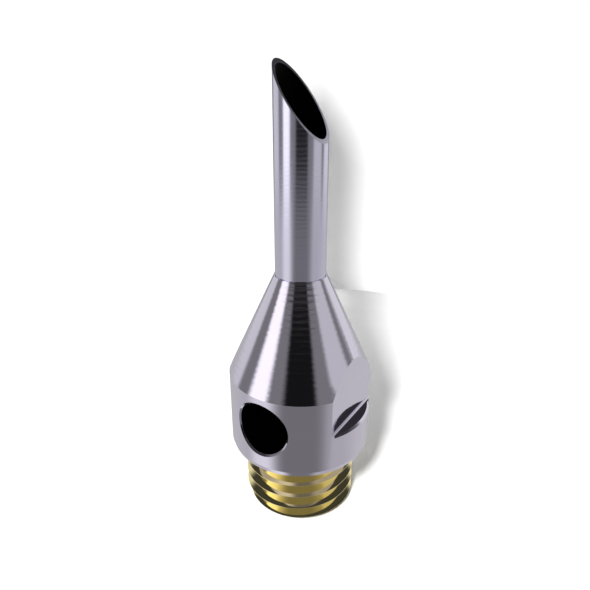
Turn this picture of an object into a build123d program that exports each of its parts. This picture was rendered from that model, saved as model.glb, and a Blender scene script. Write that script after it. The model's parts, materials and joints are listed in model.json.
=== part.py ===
"""Oil burner nozzle: a turned body with air ports and a bevel-cut outlet tube, holding a
screw-locked jet, an anti-drip ball valve and an inlet strainer in its threaded end.

Millimetres. +Z is the nozzle axis, pointing out of the outlet. The origin is the centre of the
threaded end's face. The air ports look along +Y and -Y, the wrench flats face +X and -X, and the
outlet's bevel is lowest on the +X side.
"""

import os
from math import acos, degrees, radians, sqrt, tan

from build123d import *

# ---- body -------------------------------------------------------------------
BODY_R = 7.5
THREAD_MAJOR_R = 6.0
THREAD_PITCH = 1.5
THREAD_DEPTH = 0.6134 * THREAD_PITCH
THREAD_END_CHAMFER = 0.8
SHOULDER_Z = 7.5
RELIEF_R = 5.0
RELIEF_LENGTH = 0.5
THREAD_RUN_OUT = 0.15
BODY_EDGE = 0.15
BODY_EDGE_HEIGHT = 0.5
CONE_BASE_Z = 15.8
CONE_TOP_Z = 26.3
BRAZE_LIP = 0.12

# ---- outlet tube ------------------------------------------------------------
TUBE_R = 2.55
TUBE_BORE_R = 2.25
TUBE_SEAT_Z = 20.3
BEVEL_MID_Z = 42.3
BEVEL_SLOPE = 1.371

# ---- air ports and wrench flats ---------------------------------------------
PORT_R = 2.8
PORT_Z = 12.25
PORT_EDGE = 0.2
FLAT_X = 6.25
LEDGE_Z = 11.8
LEDGE_FILLET = 0.25
LEDGE_EDGE = 0.2

# ---- bores inside the body --------------------------------------------------
CARTRIDGE_BORE_R = 4.2
CARTRIDGE_STOP_Z = 8.4
CHAMBER_R = 3.6
CHAMBER_TOP_Z = 15.4
RING_GROOVE_R = 4.55
RING_Z = 0.4
RING_THICK = 0.6
RING_GROOVE_PLAY = 0.02

# ---- jet cartridge ----------------------------------------------------------
JET_R = 4.15
JET_BOTTOM_Z = 2.4
JET_BORE_R = 2.9
JET_WEB_Z = 7.7
JET_NOSE_HOLE_R = 1.3
SEAL_GROOVE_R = 3.45
SEAL_GROOVE_Z = 5.0
SEAL_GROOVE_WIDTH = 1.3
SEAL_WIDTH = 1.1
SEAL_ROUND = 0.3
STACK_R = 2.88

ORIFICE_FLANGE = 0.6
ORIFICE_NOSE_R = 1.25
ORIFICE_TOP_Z = 8.3
ORIFICE_R = 0.2
SWIRL_R = 0.8
SWIRL_DEPTH = 0.35

DISTRIBUTOR_THICK = 0.9
SLOT_COUNT = 4
SLOT_WIDTH = 0.35
SLOT_DEPTH = 0.3
NOTCH_R = 0.45

LOCK_THICK = 1.0
LOCK_HOLE_R = 0.6
SPRING_POCKET_R = 0.9
SPRING_POCKET_DEPTH = 0.6
LOCK_GROOVE_WIDTH = 0.6
LOCK_GROOVE_DEPTH = 0.3

# ---- anti-drip valve --------------------------------------------------------
SEAT_THICK = 0.6
SEAT_HOLE_R = 0.55
SEAT_CHAMFER = 0.1
GUIDE_BORE_R = 0.95
GUIDE_R = 1.45
GUIDE_HEIGHT = 1.9
GUIDE_SLOT = 0.7
BALL_R = 0.9
BALL_GAP = 0.02
SPRING_WIRE_R = 0.1
SPRING_R = 0.7
SPRING_TURNS = 3.0

# ---- inlet strainer ---------------------------------------------------------
STRAINER_R = 4.15
HOLDER_LEDGE_R = 2.9
HOLDER_BORE_R = 3.55
HOLDER_LEDGE = 0.4
DISC_R = 3.5
DISC_THICK = 0.25
DISC_HOLE_R = 0.22
DISC_HOLE_SPACING = 0.72
CLAMP_BORE_R = 2.9

SNAP_RING_BORE_R = 3.75
SNAP_RING_GAP = 1.6


# The stack inside the jet, from the web down.
orifice_bottom_z = JET_WEB_Z - ORIFICE_FLANGE
distributor_bottom_z = orifice_bottom_z - DISTRIBUTOR_THICK
lock_bottom_z = distributor_bottom_z - LOCK_THICK
seat_top_z = JET_BOTTOM_Z + SEAT_THICK
seat_edge_r = SEAT_HOLE_R + SEAT_CHAMFER
ball_z = seat_top_z + sqrt(BALL_R**2 - seat_edge_r**2) + BALL_GAP
strainer_bottom_z = RING_Z + RING_THICK
holder_ledge_z = JET_BOTTOM_Z - HOLDER_LEDGE

# ---- nozzle body ------------------------------------------------------------
with BuildPart() as nozzle_body:
    with BuildSketch(Plane.XZ):
        with BuildLine():
            Polyline(
                (CARTRIDGE_BORE_R, 0),
                (THREAD_MAJOR_R - THREAD_END_CHAMFER, 0),
                (THREAD_MAJOR_R, THREAD_END_CHAMFER),
                (THREAD_MAJOR_R, SHOULDER_Z - RELIEF_LENGTH),
                (RELIEF_R, SHOULDER_Z - RELIEF_LENGTH),
                (RELIEF_R, SHOULDER_Z),
                (BODY_R - BODY_EDGE, SHOULDER_Z),
                (BODY_R, SHOULDER_Z + BODY_EDGE_HEIGHT),
                (BODY_R, CONE_BASE_Z),
                (TUBE_R + BRAZE_LIP, CONE_TOP_Z),
                (TUBE_R, CONE_TOP_Z),
                (TUBE_R, TUBE_SEAT_Z),
                (TUBE_BORE_R, TUBE_SEAT_Z),
                (CHAMBER_R, CHAMBER_TOP_Z),
                (CHAMBER_R, CARTRIDGE_STOP_Z),
                (CARTRIDGE_BORE_R, CARTRIDGE_STOP_Z),
                close=True,
            )
        make_face()
    revolve(axis=Axis.Z)

    # Groove for the snap ring that keeps the cartridge in.
    with BuildSketch(Plane.XY.offset(RING_Z - RING_GROOVE_PLAY)):
        Circle(RING_GROOVE_R)
    extrude(amount=RING_THICK + 2 * RING_GROOVE_PLAY, mode=Mode.SUBTRACT)

    # Air ports, drilled right through, with their outer edges broken.
    with BuildSketch(Plane.XZ):
        with Locations((0, PORT_Z)):
            Circle(PORT_R)
    extrude(amount=BODY_R + 1, both=True, mode=Mode.SUBTRACT)
    port_mouths = [
        edge
        for edge in nozzle_body.edges(Select.LAST)
        if abs(edge.center(CenterOf.BOUNDING_BOX).Y) > CARTRIDGE_BORE_R
    ]
    chamfer(port_mouths, PORT_EDGE)

    # Wrench flats, milled down to a ledge by a cutter with a rounded corner.
    flat_width = BODY_R - FLAT_X + 1
    flat_height = CONE_TOP_Z - LEDGE_Z
    for side in (-1, 1):
        with BuildSketch(Plane.XZ) as flat_profile:
            with Locations((side * (FLAT_X + flat_width / 2), LEDGE_Z + flat_height / 2)):
                Rectangle(flat_width, flat_height)
            cutter_corners = flat_profile.vertices().sort_by_distance((side * FLAT_X, LEDGE_Z))
            fillet(cutter_corners[0], LEDGE_FILLET)
        extrude(amount=BODY_R, both=True, mode=Mode.SUBTRACT)

    # The ledges' outer edges are broken with a file.
    rim_r = BODY_R - LEDGE_EDGE
    rim_arc = 2 * degrees(acos(FLAT_X / rim_r))
    for side in (0, 180):
        with BuildSketch(Plane.XZ.rotated((0, 0, side - rim_arc / 2))):
            with BuildLine():
                Polyline(
                    (rim_r, LEDGE_Z),
                    (BODY_R + LEDGE_EDGE, LEDGE_Z),
                    (BODY_R + LEDGE_EDGE, LEDGE_Z - 2 * LEDGE_EDGE),
                    close=True,
                )
            make_face()
        revolve(axis=Axis.Z, revolution_arc=rim_arc, mode=Mode.SUBTRACT)

    # Male thread, cut as a helical V groove that runs out in the relief.
    groove_r = THREAD_MAJOR_R - THREAD_DEPTH
    overcut = 0.15
    root_half = THREAD_PITCH / 8
    mouth_half = root_half + (THREAD_DEPTH + overcut) * tan(radians(30))
    with BuildLine() as thread_path:
        Helix(
            pitch=THREAD_PITCH,
            height=SHOULDER_Z - THREAD_RUN_OUT - mouth_half + THREAD_PITCH,
            radius=THREAD_MAJOR_R,
            center=(0, 0, -THREAD_PITCH),
        )
    thread_start = Plane(
        origin=thread_path.line @ 0, x_dir=(1, 0, 0), z_dir=thread_path.line % 0
    )
    with BuildSketch(thread_start):
        with BuildLine():
            Polyline(
                (-THREAD_DEPTH, -root_half),
                (overcut, -mouth_half),
                (overcut, mouth_half),
                (-THREAD_DEPTH, root_half),
                close=True,
            )
        make_face()
    sweep(path=thread_path.line, is_frenet=True, mode=Mode.SUBTRACT)

# ---- outlet tube ------------------------------------------------------------
with BuildPart() as outlet_tube:
    with BuildSketch(Plane.XY.offset(TUBE_SEAT_Z)):
        Circle(TUBE_R)
        Circle(TUBE_BORE_R, mode=Mode.SUBTRACT)
    extrude(amount=BEVEL_MID_Z + BEVEL_SLOPE * TUBE_R + 1 - TUBE_SEAT_Z)
    bevel = Plane(origin=(0, 0, BEVEL_MID_Z), z_dir=(BEVEL_SLOPE, 0, 1))
    split(bisect_by=bevel, keep=Keep.BOTTOM)

# ---- jet --------------------------------------------------------------------
with BuildPart() as jet_body:
    with BuildSketch(Plane.XZ):
        with BuildLine():
            Polyline(
                (JET_BORE_R, JET_BOTTOM_Z),
                (JET_R, JET_BOTTOM_Z),
                (JET_R, SEAL_GROOVE_Z),
                (SEAL_GROOVE_R, SEAL_GROOVE_Z),
                (SEAL_GROOVE_R, SEAL_GROOVE_Z + SEAL_GROOVE_WIDTH),
                (JET_R, SEAL_GROOVE_Z + SEAL_GROOVE_WIDTH),
                (JET_R, CARTRIDGE_STOP_Z),
                (JET_NOSE_HOLE_R, CARTRIDGE_STOP_Z),
                (JET_NOSE_HOLE_R, JET_WEB_Z),
                (JET_BORE_R, JET_WEB_Z),
                close=True,
            )
        make_face()
    revolve(axis=Axis.Z)

with BuildPart() as jet_o_ring:
    seal_mid_z = SEAL_GROOVE_Z + SEAL_GROOVE_WIDTH / 2
    seal_depth = CARTRIDGE_BORE_R - SEAL_GROOVE_R
    with BuildSketch(Plane.XZ):
        with Locations((SEAL_GROOVE_R + seal_depth / 2, seal_mid_z)):
            RectangleRounded(seal_depth, SEAL_WIDTH, SEAL_ROUND)
    revolve(axis=Axis.Z)

with BuildPart() as orifice_disc:
    with BuildSketch(Plane.XZ):
        with BuildLine():
            Polyline(
                (SWIRL_R, orifice_bottom_z),
                (STACK_R, orifice_bottom_z),
                (STACK_R, JET_WEB_Z),
                (ORIFICE_NOSE_R, JET_WEB_Z),
                (ORIFICE_NOSE_R, ORIFICE_TOP_Z),
                (ORIFICE_R, ORIFICE_TOP_Z),
                (ORIFICE_R, orifice_bottom_z + SWIRL_DEPTH + SWIRL_R - ORIFICE_R),
                (SWIRL_R, orifice_bottom_z + SWIRL_DEPTH),
                close=True,
            )
        make_face()
    revolve(axis=Axis.Z)

with BuildPart() as swirl_distributor:
    with BuildSketch(Plane.XY.offset(distributor_bottom_z)):
        Circle(STACK_R)
        with PolarLocations(STACK_R, SLOT_COUNT):
            Circle(NOTCH_R, mode=Mode.SUBTRACT)
    extrude(amount=DISTRIBUTOR_THICK)
    # Tangential slots feed the swirl chamber from the notches at the rim.
    with BuildSketch(Plane.XY.offset(orifice_bottom_z - SLOT_DEPTH)):
        with PolarLocations(0, SLOT_COUNT):
            with Locations((STACK_R / 2, SWIRL_R / 2)):
                Rectangle(STACK_R, SLOT_WIDTH)
    extrude(amount=SLOT_DEPTH, mode=Mode.SUBTRACT)

with BuildPart() as lock_screw:
    with BuildSketch(Plane.XY.offset(lock_bottom_z)):
        Circle(STACK_R)
        Circle(LOCK_HOLE_R, mode=Mode.SUBTRACT)
    extrude(amount=LOCK_THICK)
    with BuildSketch(Plane.XY.offset(lock_bottom_z)):
        Circle(SPRING_POCKET_R)
    extrude(amount=SPRING_POCKET_DEPTH, mode=Mode.SUBTRACT)
    # Cross grooves on top lead the oil out to the distributor's notches.
    with BuildSketch(Plane.XY.offset(distributor_bottom_z - LOCK_GROOVE_DEPTH)):
        Rectangle(2 * STACK_R + 1, LOCK_GROOVE_WIDTH)
        Rectangle(LOCK_GROOVE_WIDTH, 2 * STACK_R + 1)
    extrude(amount=LOCK_GROOVE_DEPTH, mode=Mode.SUBTRACT)

# ---- anti-drip valve --------------------------------------------------------
with BuildPart() as valve_seat:
    with BuildSketch(Plane.XZ):
        with BuildLine():
            Polyline(
                (SEAT_HOLE_R, JET_BOTTOM_Z),
                (STACK_R, JET_BOTTOM_Z),
                (STACK_R, seat_top_z),
                (seat_edge_r, seat_top_z),
                (SEAT_HOLE_R, seat_top_z - SEAT_CHAMFER),
                close=True,
            )
        make_face()
    revolve(axis=Axis.Z)
    # Four fingers guide the ball and let the oil out between them.
    with BuildSketch(Plane.XY.offset(seat_top_z)):
        Circle(GUIDE_R)
        Circle(GUIDE_BORE_R, mode=Mode.SUBTRACT)
        Rectangle(2 * GUIDE_R + 1, GUIDE_SLOT, mode=Mode.SUBTRACT)
        Rectangle(GUIDE_SLOT, 2 * GUIDE_R + 1, mode=Mode.SUBTRACT)
    extrude(amount=GUIDE_HEIGHT)

with BuildPart() as valve_ball:
    with Locations((0, 0, ball_z)):
        Sphere(BALL_R)

with BuildPart() as valve_spring:
    spring_foot_z = ball_z + sqrt((BALL_R + SPRING_WIRE_R) ** 2 - SPRING_R**2) + BALL_GAP
    spring_top_z = lock_bottom_z + SPRING_POCKET_DEPTH - SPRING_WIRE_R - BALL_GAP
    spring_height = spring_top_z - spring_foot_z
    with BuildLine() as spring_path:
        Helix(
            pitch=spring_height / SPRING_TURNS,
            height=spring_height,
            radius=SPRING_R,
            center=(0, 0, spring_foot_z),
        )
    with BuildSketch(
        Plane(origin=spring_path.line @ 0, x_dir=(1, 0, 0), z_dir=spring_path.line % 0)
    ):
        Circle(SPRING_WIRE_R)
    sweep(path=spring_path.line, is_frenet=True)

# ---- inlet strainer ---------------------------------------------------------
with BuildPart() as strainer_holder:
    with BuildSketch(Plane.XY.offset(strainer_bottom_z)):
        Circle(STRAINER_R)
        Circle(HOLDER_BORE_R, mode=Mode.SUBTRACT)
    extrude(amount=holder_ledge_z - strainer_bottom_z)
    with BuildSketch(Plane.XY.offset(holder_ledge_z)):
        Circle(STRAINER_R)
        Circle(HOLDER_LEDGE_R, mode=Mode.SUBTRACT)
    extrude(amount=HOLDER_LEDGE)

with BuildPart() as strainer_disc:
    with BuildSketch(Plane.XY.offset(holder_ledge_z - DISC_THICK)):
        Circle(DISC_R)
        with HexLocations(DISC_HOLE_SPACING / sqrt(3), 7, 7):
            Circle(DISC_HOLE_R, mode=Mode.SUBTRACT)
    extrude(amount=DISC_THICK)

with BuildPart() as strainer_clamp:
    with BuildSketch(Plane.XY.offset(strainer_bottom_z)):
        Circle(DISC_R)
        Circle(CLAMP_BORE_R, mode=Mode.SUBTRACT)
    extrude(amount=holder_ledge_z - DISC_THICK - strainer_bottom_z)

with BuildPart() as snap_ring:
    with BuildSketch(Plane.XY.offset(RING_Z)):
        Circle(RING_GROOVE_R - RING_GROOVE_PLAY)
        Circle(SNAP_RING_BORE_R, mode=Mode.SUBTRACT)
        with Locations((RING_GROOVE_R, 0)):
            Rectangle(RING_GROOVE_R, SNAP_RING_GAP, mode=Mode.SUBTRACT)
    extrude(amount=RING_THICK)

# ---- export -----------------------------------------------------------------
os.makedirs("parts", exist_ok=True)
pieces = {
    "nozzle_body": nozzle_body,
    "outlet_tube": outlet_tube,
    "jet_body": jet_body,
    "jet_o_ring": jet_o_ring,
    "orifice_disc": orifice_disc,
    "swirl_distributor": swirl_distributor,
    "lock_screw": lock_screw,
    "valve_seat": valve_seat,
    "valve_ball": valve_ball,
    "valve_spring": valve_spring,
    "strainer_holder": strainer_holder,
    "strainer_disc": strainer_disc,
    "strainer_clamp": strainer_clamp,
    "snap_ring": snap_ring,
}
for name, piece in pieces.items():
    piece.part.label = name
    export_step(piece.part, f"parts/{name}.step")
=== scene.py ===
"""Looks of the oil burner nozzle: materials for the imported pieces, studio, lights and camera.

Everything is in metres in the CAD frame: +Z along the nozzle, origin at the threaded end's face.
"""

import json
import math

import bpy
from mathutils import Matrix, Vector


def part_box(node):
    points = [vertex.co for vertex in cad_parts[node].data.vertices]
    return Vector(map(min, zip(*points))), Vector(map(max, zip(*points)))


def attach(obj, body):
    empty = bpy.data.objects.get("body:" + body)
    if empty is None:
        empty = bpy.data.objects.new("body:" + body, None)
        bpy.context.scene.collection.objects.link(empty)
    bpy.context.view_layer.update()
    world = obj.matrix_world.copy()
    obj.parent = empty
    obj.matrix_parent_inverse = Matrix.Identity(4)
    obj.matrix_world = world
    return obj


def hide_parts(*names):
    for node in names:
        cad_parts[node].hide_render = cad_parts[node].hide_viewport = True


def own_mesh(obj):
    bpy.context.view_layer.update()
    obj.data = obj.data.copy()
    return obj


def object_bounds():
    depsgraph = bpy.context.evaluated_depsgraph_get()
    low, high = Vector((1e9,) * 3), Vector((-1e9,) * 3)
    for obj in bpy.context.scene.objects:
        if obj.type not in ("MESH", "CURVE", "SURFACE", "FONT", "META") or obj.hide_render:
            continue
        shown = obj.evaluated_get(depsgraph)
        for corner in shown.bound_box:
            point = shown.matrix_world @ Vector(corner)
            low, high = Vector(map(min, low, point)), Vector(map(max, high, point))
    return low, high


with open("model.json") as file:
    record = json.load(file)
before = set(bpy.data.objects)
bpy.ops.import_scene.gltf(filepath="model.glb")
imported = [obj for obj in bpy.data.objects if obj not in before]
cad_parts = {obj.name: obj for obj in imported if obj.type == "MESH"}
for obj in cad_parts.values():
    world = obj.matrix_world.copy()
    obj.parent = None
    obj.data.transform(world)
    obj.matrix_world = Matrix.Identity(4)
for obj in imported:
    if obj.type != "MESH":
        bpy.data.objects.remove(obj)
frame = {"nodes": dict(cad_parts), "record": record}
cad_low, cad_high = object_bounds()
nodes = frame["nodes"]

MM = 0.001

# ---- places taken from the frame --------------------------------------------
cone_top_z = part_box("nozzle_body")[1].z
cone_base_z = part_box("outlet_tube")[0].z - 4.5 * MM
mounts = {mount["name"]: mount for mount in frame["record"]["mounts"]}
shoulder_z = mounts["shoulder"]["pos_m"][2]
port_z = mounts["air_ports"]["pos_m"][2]
port_r = mounts["air_ports"]["dims"]["r_mm"] * MM
tube_bore_r = mounts["outlet_bore"]["dims"]["r_mm"] * MM
bore_to_thread_r = 4.6 * MM
body_bore_end_z = cone_top_z - 5.1 * MM


# ---- camera -----------------------------------------------------------------
CAMERA_AZIMUTH = 32
CAMERA_AWAY = 47.49 * MM
CAMERA_RISE = 19.17 * MM
TARGET_Z = 24.01 * MM
TARGET_RIGHT = -0.55 * MM
LENS = 31.0
SENSOR = 36
NEAREST, FARTHEST = 1 * MM, 50


def direction(azimuth, elevation=0):
    """A unit vector towards an azimuth counted from -Y towards +X, and an elevation, in degrees."""
    a, e = math.radians(azimuth), math.radians(elevation)
    return Vector((math.sin(a) * math.cos(e), -math.cos(a) * math.cos(e), math.sin(e)))


away = direction(CAMERA_AZIMUTH)
rightward = direction(CAMERA_AZIMUTH + 90)
upward = Vector((0, 0, 1))
target = rightward * TARGET_RIGHT + upward * TARGET_Z
camera_place = away * CAMERA_AWAY + upward * (TARGET_Z + CAMERA_RISE)


def make_camera():
    """A close camera, 32 degrees from the front port towards the wrench flat."""
    data = bpy.data.cameras.new("camera")
    data.sensor_width = SENSOR
    data.lens = LENS
    data.clip_start = NEAREST
    data.clip_end = FARTHEST
    camera = bpy.data.objects.new("camera", data)
    camera.location = camera_place
    camera.rotation_mode = "QUATERNION"
    camera.rotation_quaternion = (target - camera_place).to_track_quat("-Z", "Y")
    bpy.context.scene.collection.objects.link(camera)
    bpy.context.scene.camera = camera


make_camera()


# ---- material helpers -------------------------------------------------------
class Nodes:
    """A short way to write a node tree."""

    def __init__(self, name):
        self.material = bpy.data.materials.new(name)
        self.material.use_nodes = True
        self.tree = self.material.node_tree
        self.tree.nodes.clear()

    def add(self, kind, inputs=None, **settings):
        node = self.tree.nodes.new(kind)
        for key, value in settings.items():
            setattr(node, key, value)
        for key, value in (inputs or {}).items():
            socket = node.inputs[key]
            if isinstance(value, bpy.types.NodeSocket):
                self.tree.links.new(value, socket)
            else:
                socket.default_value = value
        return node

    def math(self, operation, a, b=0.0, clamp=False):
        node = self.add("ShaderNodeMath", {0: a, 1: b}, operation=operation, use_clamp=clamp)
        return node.outputs[0]

    def band(self, value, low, high):
        """1 where value is under low, 0 over high, smooth between."""
        node = self.add(
            "ShaderNodeMapRange",
            {"Value": value, "From Min": low, "From Max": high, "To Min": 1.0, "To Max": 0.0},
            interpolation_type="SMOOTHSTEP",
        )
        return node.outputs[0]

    def mix_colour(self, factor, a, b):
        node = self.add("ShaderNodeMix", {0: factor, 6: a, 7: b}, data_type="RGBA")
        return node.outputs[2]

    def mix_value(self, factor, a, b):
        node = self.add("ShaderNodeMix", {0: factor, 2: a, 3: b}, data_type="FLOAT")
        return node.outputs[0]

    def noise(self, vector, scale, detail=2.0):
        node = self.add(
            "ShaderNodeTexNoise", {"Vector": vector, "Scale": scale, "Detail": detail}
        )
        return node.outputs[0]

    def finish(self, shader):
        self.add("ShaderNodeOutputMaterial", {"Surface": shader})
        return self.material


def axis_coordinates(n):
    """Object position, its distance from the nozzle axis and its height."""
    place = n.add("ShaderNodeTexCoord").outputs["Object"]
    split = n.add("ShaderNodeSeparateXYZ", {"Vector": place})
    x, y, z = split.outputs
    radius = n.math("SQRT", n.math("ADD", n.math("MULTIPLY", x, x), n.math("MULTIPLY", y, y)))
    return place, x, y, z, radius


METAL_SPECULAR = 0.3
# Painted shade: the walls inside the bore and ports are painted near-black, dull and not metallic,
# as shade in the hollows.
PAINTED_SHADE_SPECULAR, PAINTED_SHADE_ROUGHNESS = 0.02, 0.6
PAINTED_SHADE_DARK, PAINTED_SHADE_PALE = (0.0008, 0.0008, 0.0008, 1), (0.004, 0.0038, 0.003, 1)
DULL_SHARE = 0.94
ROUGHNESS_LOW, ROUGHNESS_HIGH = 0.7, 1.3


def turning_rings(n, place, pitch):
    """Height of lathe marks, 0 to 1: a feed wave along Z, uneven along Z and a little round it."""
    stretch = n.add(
        "ShaderNodeVectorMath",
        {0: place, 1: (1 / (5 * MM), 1 / (5 * MM), 1 / pitch)},
        operation="MULTIPLY",
    ).outputs[0]
    wave = n.add(
        "ShaderNodeTexWave",
        {"Vector": place, "Scale": 0.314 / pitch, "Distortion": 2.5, "Detail": 2.0,
         "Detail Scale": 1.5},
        bands_direction="Z",
    ).outputs["Fac"]
    coarse = n.noise(stretch, 0.9, 4.0)
    fine = n.noise(stretch, 3.3, 3.0)
    rough = n.math("ADD", n.math("MULTIPLY", coarse, 0.6), n.math("MULTIPLY", fine, 0.25))
    return n.math("ADD", n.math("MULTIPLY", wave, 0.15), rough)


def metal(name, colour, roughness, pitch, depth, shade_inside=None, depth_mask=None, gilt_mask=None):
    """Turned metal with lathe rings. The masks mark the walls inside holes for painted shade, deep
    rings and a gilt tone.
    """
    n = Nodes(name)
    place, x, y, z, radius = axis_coordinates(n)
    rings = turning_rings(n, place, pitch)
    cloud = n.noise(place, 1 / (6 * MM), 3.0)
    tone = n.mix_colour(cloud, tuple(c * DULL_SHARE for c in colour) + (1,), colour + (1,))
    if gilt_mask is not None:
        tone = n.mix_colour(gilt_mask(n, z), tone, GILT + (1,))
    rough = n.mix_value(rings, roughness * ROUGHNESS_LOW, roughness * ROUGHNESS_HIGH)
    metallic, specular = 1.0, METAL_SPECULAR
    # Painted shade: the walls inside holes get a near-black, dull, non-metallic colour.
    if shade_inside is not None:
        shade_mask = shade_inside(n, x, y, z, radius)
        shade_grain = n.noise(place, 1 / (0.8 * MM), 4.0)
        painted_shade_tone = n.mix_colour(shade_grain, PAINTED_SHADE_DARK, PAINTED_SHADE_PALE)
        tone = n.mix_colour(shade_mask, tone, painted_shade_tone)
        rough = n.mix_value(shade_mask, rough, PAINTED_SHADE_ROUGHNESS)
        specular = n.mix_value(shade_mask, METAL_SPECULAR, PAINTED_SHADE_SPECULAR)
        metallic = n.math("SUBTRACT", 1.0, shade_mask)
    height = rings
    if depth_mask is not None:
        height = n.math("MULTIPLY", rings, depth_mask(n, z))
    bump = n.add(
        "ShaderNodeBump", {"Height": height, "Distance": depth, "Strength": 1.0}
    ).outputs[0]
    shader = n.add(
        "ShaderNodeBsdfPrincipled",
        {
            "Base Color": tone,
            "Metallic": metallic,
            "Roughness": rough,
            "Specular IOR Level": specular,
            "Normal": bump,
        },
    )
    return n.finish(shader.outputs[0])


FINE_RINGS, DEEP_RINGS = 0.12, 1.0
CHANGE = 0.1 * MM
# The painted shade on a hole's wall fades out between these distances over the hole's radius.
OVER_WALL, CLEAR_OF_WALL = 0.01 * MM, 0.03 * MM
BORE_CHANGE = 0.02 * MM


def body_depth(n, z):
    """Deep rings on the cone, fine ones on the cylinder and the thread."""
    under_cone = n.band(z, cone_base_z - CHANGE, cone_base_z + CHANGE)
    return n.mix_value(under_cone, DEEP_RINGS, FINE_RINGS)


def body_thread(n, z):
    """1 on the thread, under the body's shoulder."""
    return n.band(z, shoulder_z - 0.02 * MM, shoulder_z)


def body_shade_walls(n, x, y, z, radius):
    """1 on the body's bore, chamber and port walls, where shade is painted."""
    dz = n.math("SUBTRACT", z, port_z)
    from_port = n.math("SQRT", n.math("ADD", n.math("MULTIPLY", x, x), n.math("MULTIPLY", dz, dz)))
    port_wall = n.band(from_port, port_r + OVER_WALL, port_r + CLEAR_OF_WALL)
    low_enough = n.band(z, body_bore_end_z - CHANGE, body_bore_end_z + CHANGE)
    in_bore = n.band(radius, bore_to_thread_r - BORE_CHANGE, bore_to_thread_r + BORE_CHANGE)
    bore = n.math("MULTIPLY", in_bore, low_enough)
    return n.math("MAXIMUM", port_wall, bore)


def tube_shade_walls(n, x, y, z, radius):
    """1 on the tube's bore, where shade is painted."""
    return n.band(radius, tube_bore_r + OVER_WALL, tube_bore_r + CLEAR_OF_WALL)


def rubber():
    n = Nodes("seal_rubber")
    place = n.add("ShaderNodeTexCoord").outputs["Object"]
    grain = n.noise(place, 1 / (0.15 * MM), 3.0)
    tone = n.mix_colour(grain, (0.012, 0.012, 0.013, 1), (0.03, 0.03, 0.03, 1))
    bump = n.add("ShaderNodeBump", {"Height": grain, "Distance": 0.01 * MM}).outputs[0]
    shader = n.add(
        "ShaderNodeBsdfPrincipled", {"Base Color": tone, "Roughness": 0.55, "Normal": bump}
    )
    return n.finish(shader.outputs[0])


NICKEL = (0.68, 0.64, 0.75)
TUBE_NICKEL = (0.65, 0.63, 0.76)
GILT = (0.92, 0.80, 0.42)
BRASS = (0.80, 0.58, 0.26)
STEEL = (0.55, 0.55, 0.56)
SPRING = (0.28, 0.28, 0.30)

plated = metal(
    "plated_steel", NICKEL, 0.06, 0.55 * MM, 0.025 * MM,
    shade_inside=body_shade_walls, depth_mask=body_depth, gilt_mask=body_thread,
)
tube_metal = metal("tube_steel", TUBE_NICKEL, 0.16, 0.4 * MM, 0.008 * MM, shade_inside=tube_shade_walls)
brass = metal("brass", BRASS, 0.22, 0.15 * MM, 0.003 * MM)
jet_steel = metal("jet_steel", STEEL, 0.18, 0.12 * MM, 0.002 * MM)
spring_steel = metal("spring_steel", SPRING, 0.3, 0.1 * MM, 0.002 * MM)
seal_rubber = rubber()

BY_SLOT = {
    "plated_steel": plated,
    "tube_steel": tube_metal,
    "brass": brass,
    "jet_steel": jet_steel,
    "spring_steel": spring_steel,
    "seal_rubber": seal_rubber,
}


def dress_nodes():
    """Gives each CAD node the material of its slot."""
    for part in frame["record"]["subparts"]:
        piece = nodes[part["node"]]
        piece.data.materials.clear()
        piece.data.materials.append(BY_SLOT[part["material_slot"]])


dress_nodes()


def make_closing_spring():
    """The valve's spring: its own copy of the CAD spring, hung on the nozzle's body."""
    spring = bpy.data.objects.new("closing_spring", nodes["valve_spring"].data.copy())
    bpy.context.scene.collection.objects.link(spring)
    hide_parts("valve_spring")
    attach(spring, "nozzle")
    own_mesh(spring)


make_closing_spring()


# ---- studio -----------------------------------------------------------------
def add_mesh(name, points, faces, material):
    data = bpy.data.meshes.new(name)
    data.from_pydata(points, [], faces)
    data.materials.append(material)
    piece = bpy.data.objects.new(name, data)
    bpy.context.scene.collection.objects.link(piece)
    return piece


# What the polished metal reflects: a plain grey tent with soft white panels and a dark card behind
# the camera, under a dim roof. Each panel is its azimuth from the camera and half its width, both
# in degrees, and its light, where 1 is white. The studio's radius is in metres.
PANELS = [
    (-65, 10, 1.5),
    (70, 15, 0.7),
    (-125, 15, 0.8),
    (125, 15, 0.9),
    (180, 15, 0.6),
    (0, 20, 0.01),
]
TENT_LIGHT, TABLE_LIGHT, TABLE_SHEEN, ROOF_LIGHT = 0.25, 0.35, 0.5, 0.05
PANEL_EDGE, SHEEN_EDGE = 10, 40
PANEL_FOOT, PANEL_TOP = -5, 22
STUDIO_RADIUS = 2.0
STUDIO_STEP = 3


def smooth_step(value, low, high):
    """0 under low, 1 over high, smooth between."""
    t = min(max((value - low) / (high - low), 0), 1)
    return t * t * (3 - 2 * t)


def panel_light(azimuth, edge):
    """Light of the tent and its panels at an azimuth, with soft edges that many degrees wide."""
    light = TENT_LIGHT
    for centre, half_width, value in PANELS:
        off = abs((azimuth - centre + 180) % 360 - 180)
        light += (value - light) * (1 - smooth_step(off, half_width, half_width + edge))
    return light


def studio_light(elevation, azimuth):
    """Light from a direction: the table low down, then the panels, then the dim roof."""
    table = TABLE_LIGHT + TABLE_SHEEN * (panel_light(azimuth, SHEEN_EDGE) - TENT_LIGHT)
    over_table = smooth_step(elevation, PANEL_FOOT - PANEL_EDGE, PANEL_FOOT)
    light = table + (panel_light(azimuth, PANEL_EDGE) - table) * over_table
    in_roof = smooth_step(elevation, PANEL_TOP, PANEL_TOP + PANEL_EDGE)
    return light + (ROOF_LIGHT - light) * in_roof


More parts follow.
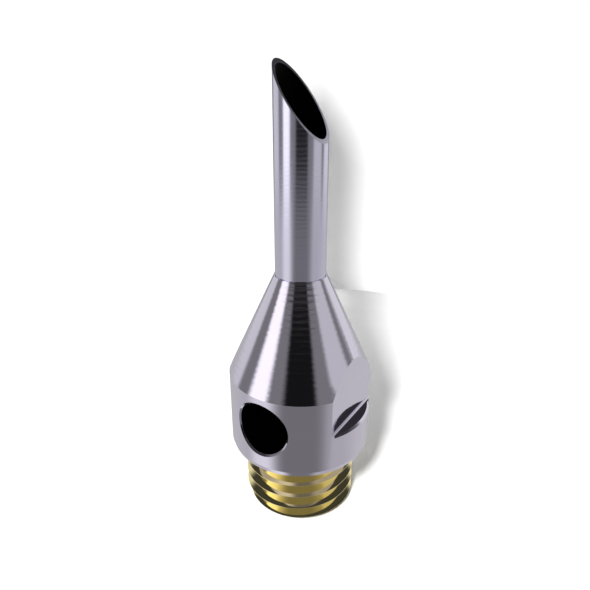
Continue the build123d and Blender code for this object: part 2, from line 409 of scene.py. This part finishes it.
def make_studio_tent():
    """A large dome round the object that only reflections see."""
    n = Nodes("studio_tent")
    shine = n.add("ShaderNodeAttribute", attribute_name="light").outputs["Fac"]
    material = n.finish(n.add("ShaderNodeEmission", {"Strength": shine}).outputs[0])
    middle = Vector((0, 0, (cad_low.z + cad_high.z) / 2))
    around = range(0, 360, STUDIO_STEP)
    points, faces, lights = [], [], []
    for elevation in range(-90, 91, STUDIO_STEP):
        for azimuth in around:
            points.append(middle + STUDIO_RADIUS * direction(CAMERA_AZIMUTH + azimuth, elevation))
            lights.append(studio_light(elevation, azimuth))
    for low_left in range(len(points) - len(around)):
        row = low_left - low_left % len(around)
        low_right = row + (low_left + 1) % len(around)
        faces.append((low_left, low_right, low_right + len(around), low_left + len(around)))
    tent = add_mesh("studio_tent", points, faces, material)
    attribute = tent.data.attributes.new("light", "FLOAT", "POINT")
    for value, light in zip(attribute.data, lights):
        value.value = light
    tent.visible_camera = False
    tent.visible_diffuse = False
    tent.visible_shadow = False
    tent.visible_transmission = False


make_studio_tent()

FLOOR_R = 64 * MM
WALL_TOP = 110 * MM
WALL_HALF = 80


def white_surface():
    n = Nodes("floor_white")
    place = n.add("ShaderNodeTexCoord").outputs["Object"]
    grain = n.noise(place, 1 / (3 * MM))
    tone = n.mix_colour(grain, (0.88, 0.88, 0.88, 1), (0.92, 0.92, 0.92, 1))
    return n.finish(n.add("ShaderNodeBsdfDiffuse", {"Color": tone}).outputs[0])


def make_floor_and_wall():
    """A white disc and, behind the object, a low curved wall that takes the tall tube's shadow."""
    material = white_surface()
    level = upward * cad_low.z
    rim = [direction(a) * FLOOR_R + level for a in range(0, 360, 5)]
    faces = [(0, 1 + i, 1 + (i + 1) % len(rim)) for i in range(len(rim))]
    floor = add_mesh("floor", [level] + rim, faces, material)
    start = CAMERA_AZIMUTH + 180 - WALL_HALF
    points, faces = [], []
    for i in range(2 * WALL_HALF // 5 + 1):
        foot = direction(start + 5 * i) * FLOOR_R + level
        points += [foot, foot + upward * WALL_TOP]
        if i:
            faces.append((2 * i - 2, 2 * i, 2 * i + 1, 2 * i - 1))
    wall = add_mesh("wall", points, faces, material)
    for piece in (floor, wall):
        piece.visible_glossy = False
    return floor, wall


floor, wall = make_floor_and_wall()


def lamp(name, offset, radius, strength, receiver):
    """A soft lamp beside the camera, as strong far away as near, for one white surface only."""
    data = bpy.data.lights.new(name, "POINT")
    data.shadow_soft_size = radius
    data.energy = 1.0
    data.use_nodes = True
    tree = data.node_tree
    falloff = tree.nodes.new("ShaderNodeLightFalloff")
    falloff.inputs["Strength"].default_value = strength
    tree.links.new(falloff.outputs["Constant"], tree.nodes["Emission"].inputs["Strength"])
    light = bpy.data.objects.new(name, data)
    light.location = camera_place - offset * rightward + 0.8 * offset * upward
    light.visible_glossy = False
    light.visible_camera = False
    lit = bpy.data.collections.new(name + "_lights")
    lit.objects.link(receiver)
    light.light_linking.receiver_collection = lit
    bpy.context.scene.collection.objects.link(light)


lamp("wall_lamp", 4.9 * MM, 3.3 * MM, 32, wall)
lamp("floor_lamp", 11 * MM, 4.4 * MM, 55, floor)

# White to the camera, and a faint even light for the pieces.
AMBIENT = 0.06
world = bpy.data.worlds.new("studio")
world.use_nodes = True
tree = world.node_tree
ray = tree.nodes.new("ShaderNodeLightPath")
glow = tree.nodes.new("ShaderNodeMapRange")
glow.inputs["To Min"].default_value = AMBIENT
glow.inputs["To Max"].default_value = 1.0
tree.links.new(ray.outputs["Is Camera Ray"], glow.inputs["Value"])
tree.links.new(glow.outputs[0], tree.nodes["Background"].inputs["Strength"])
tree.nodes["Background"].inputs["Color"].default_value = (1, 1, 1, 1)
world.cycles_visibility.glossy = False
bpy.context.scene.world = world
bpy.context.scene.view_settings.view_transform = "Standard"
